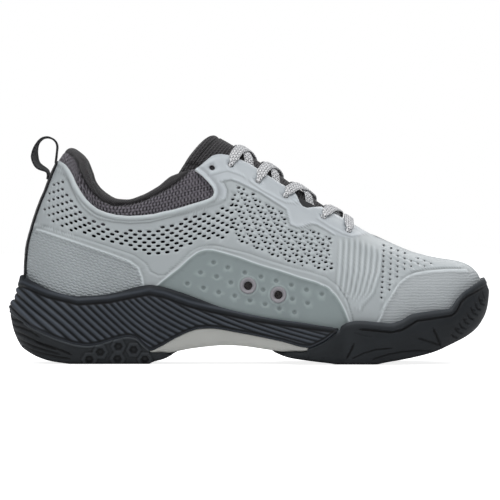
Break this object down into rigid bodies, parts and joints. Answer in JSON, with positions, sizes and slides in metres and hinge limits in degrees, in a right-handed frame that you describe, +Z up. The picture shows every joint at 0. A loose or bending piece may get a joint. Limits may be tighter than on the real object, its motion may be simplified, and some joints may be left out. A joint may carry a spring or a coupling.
{
  "type": "court shoe",
  "caption": "Low-cut court shoe for the right foot with a moulded perforated upper, padded knit collar and tongue, flat lace, ribbed midsole and split rubber outsole with a toe bumper.",
  "frame": {"origin": "on the ground, at the middle of the heel pad's flat contact area", "axes": "+X towards the toe, +Y towards the inner (medial) side, +Z up"},
  "size_m": [0.3, 0.1102, 0.1432],
  "materials": {
    "outsole_rubber": "satin",
    "midsole_foam": "satin",
    "shank": "matte",
    "board": "matte",
    "insole_foam": "matte",
    "insole_cloth": "woven",
    "upper_film": "satin moulded film",
    "stiffener": "matte",
    "mesh": "open mesh",
    "collar_knit": "knit",
    "padding": "soft foam",
    "lace_cord": "woven, flecked",
    "aglet": "gloss",
    "vent_rim": "satin",
    "webbing": "woven"
  },
  "bodies": {
    "shoe": {"outsole_heel": "outsole_rubber", "outsole_forefoot": "outsole_rubber", "shank_plate": "shank", "midsole": "midsole_foam", "strobel_board": "board", "upper_shell": "upper_film", "toe_puff": "stiffener", "heel_counter": "stiffener", "eyestay_reinforcement": "stiffener", "mesh_lining": "mesh", "collar_foam": "padding", "collar_lining": "collar_knit", "lace": "lace_cord", "lace_aglets": "aglet", "vent_grommets": "vent_rim", "vent_mesh": "mesh", "heel_tape": "webbing"},
    "tongue": {"tongue_face": "collar_knit", "tongue_foam": "padding", "tongue_lining": "mesh"},
    "insole": {"insole_foam": "insole_foam", "insole_cover": "insole_cloth"},
    "pull_loop": {"pull_loop": "webbing"}
  },
  "joints": [
    {"name": "tongue_hinge", "type": "hinge", "parent": "shoe", "child": "tongue", "pos_m": [0.156, 0.005, 0.075], "axis": [0, 1, 0], "range_deg": [-12, 0]},
    {"name": "insole_lift", "type": "hinge", "parent": "shoe", "child": "insole", "pos_m": [0.225, 0.004, 0.033], "axis": [0, 1, 0], "range_deg": [0, 4]},
    {"name": "loop_swing", "type": "hinge", "parent": "shoe", "child": "pull_loop", "pos_m": [-0.0427, 0, 0.1135], "axis": [0, 1, 0], "range_deg": [-35, 0]}
  ]
}
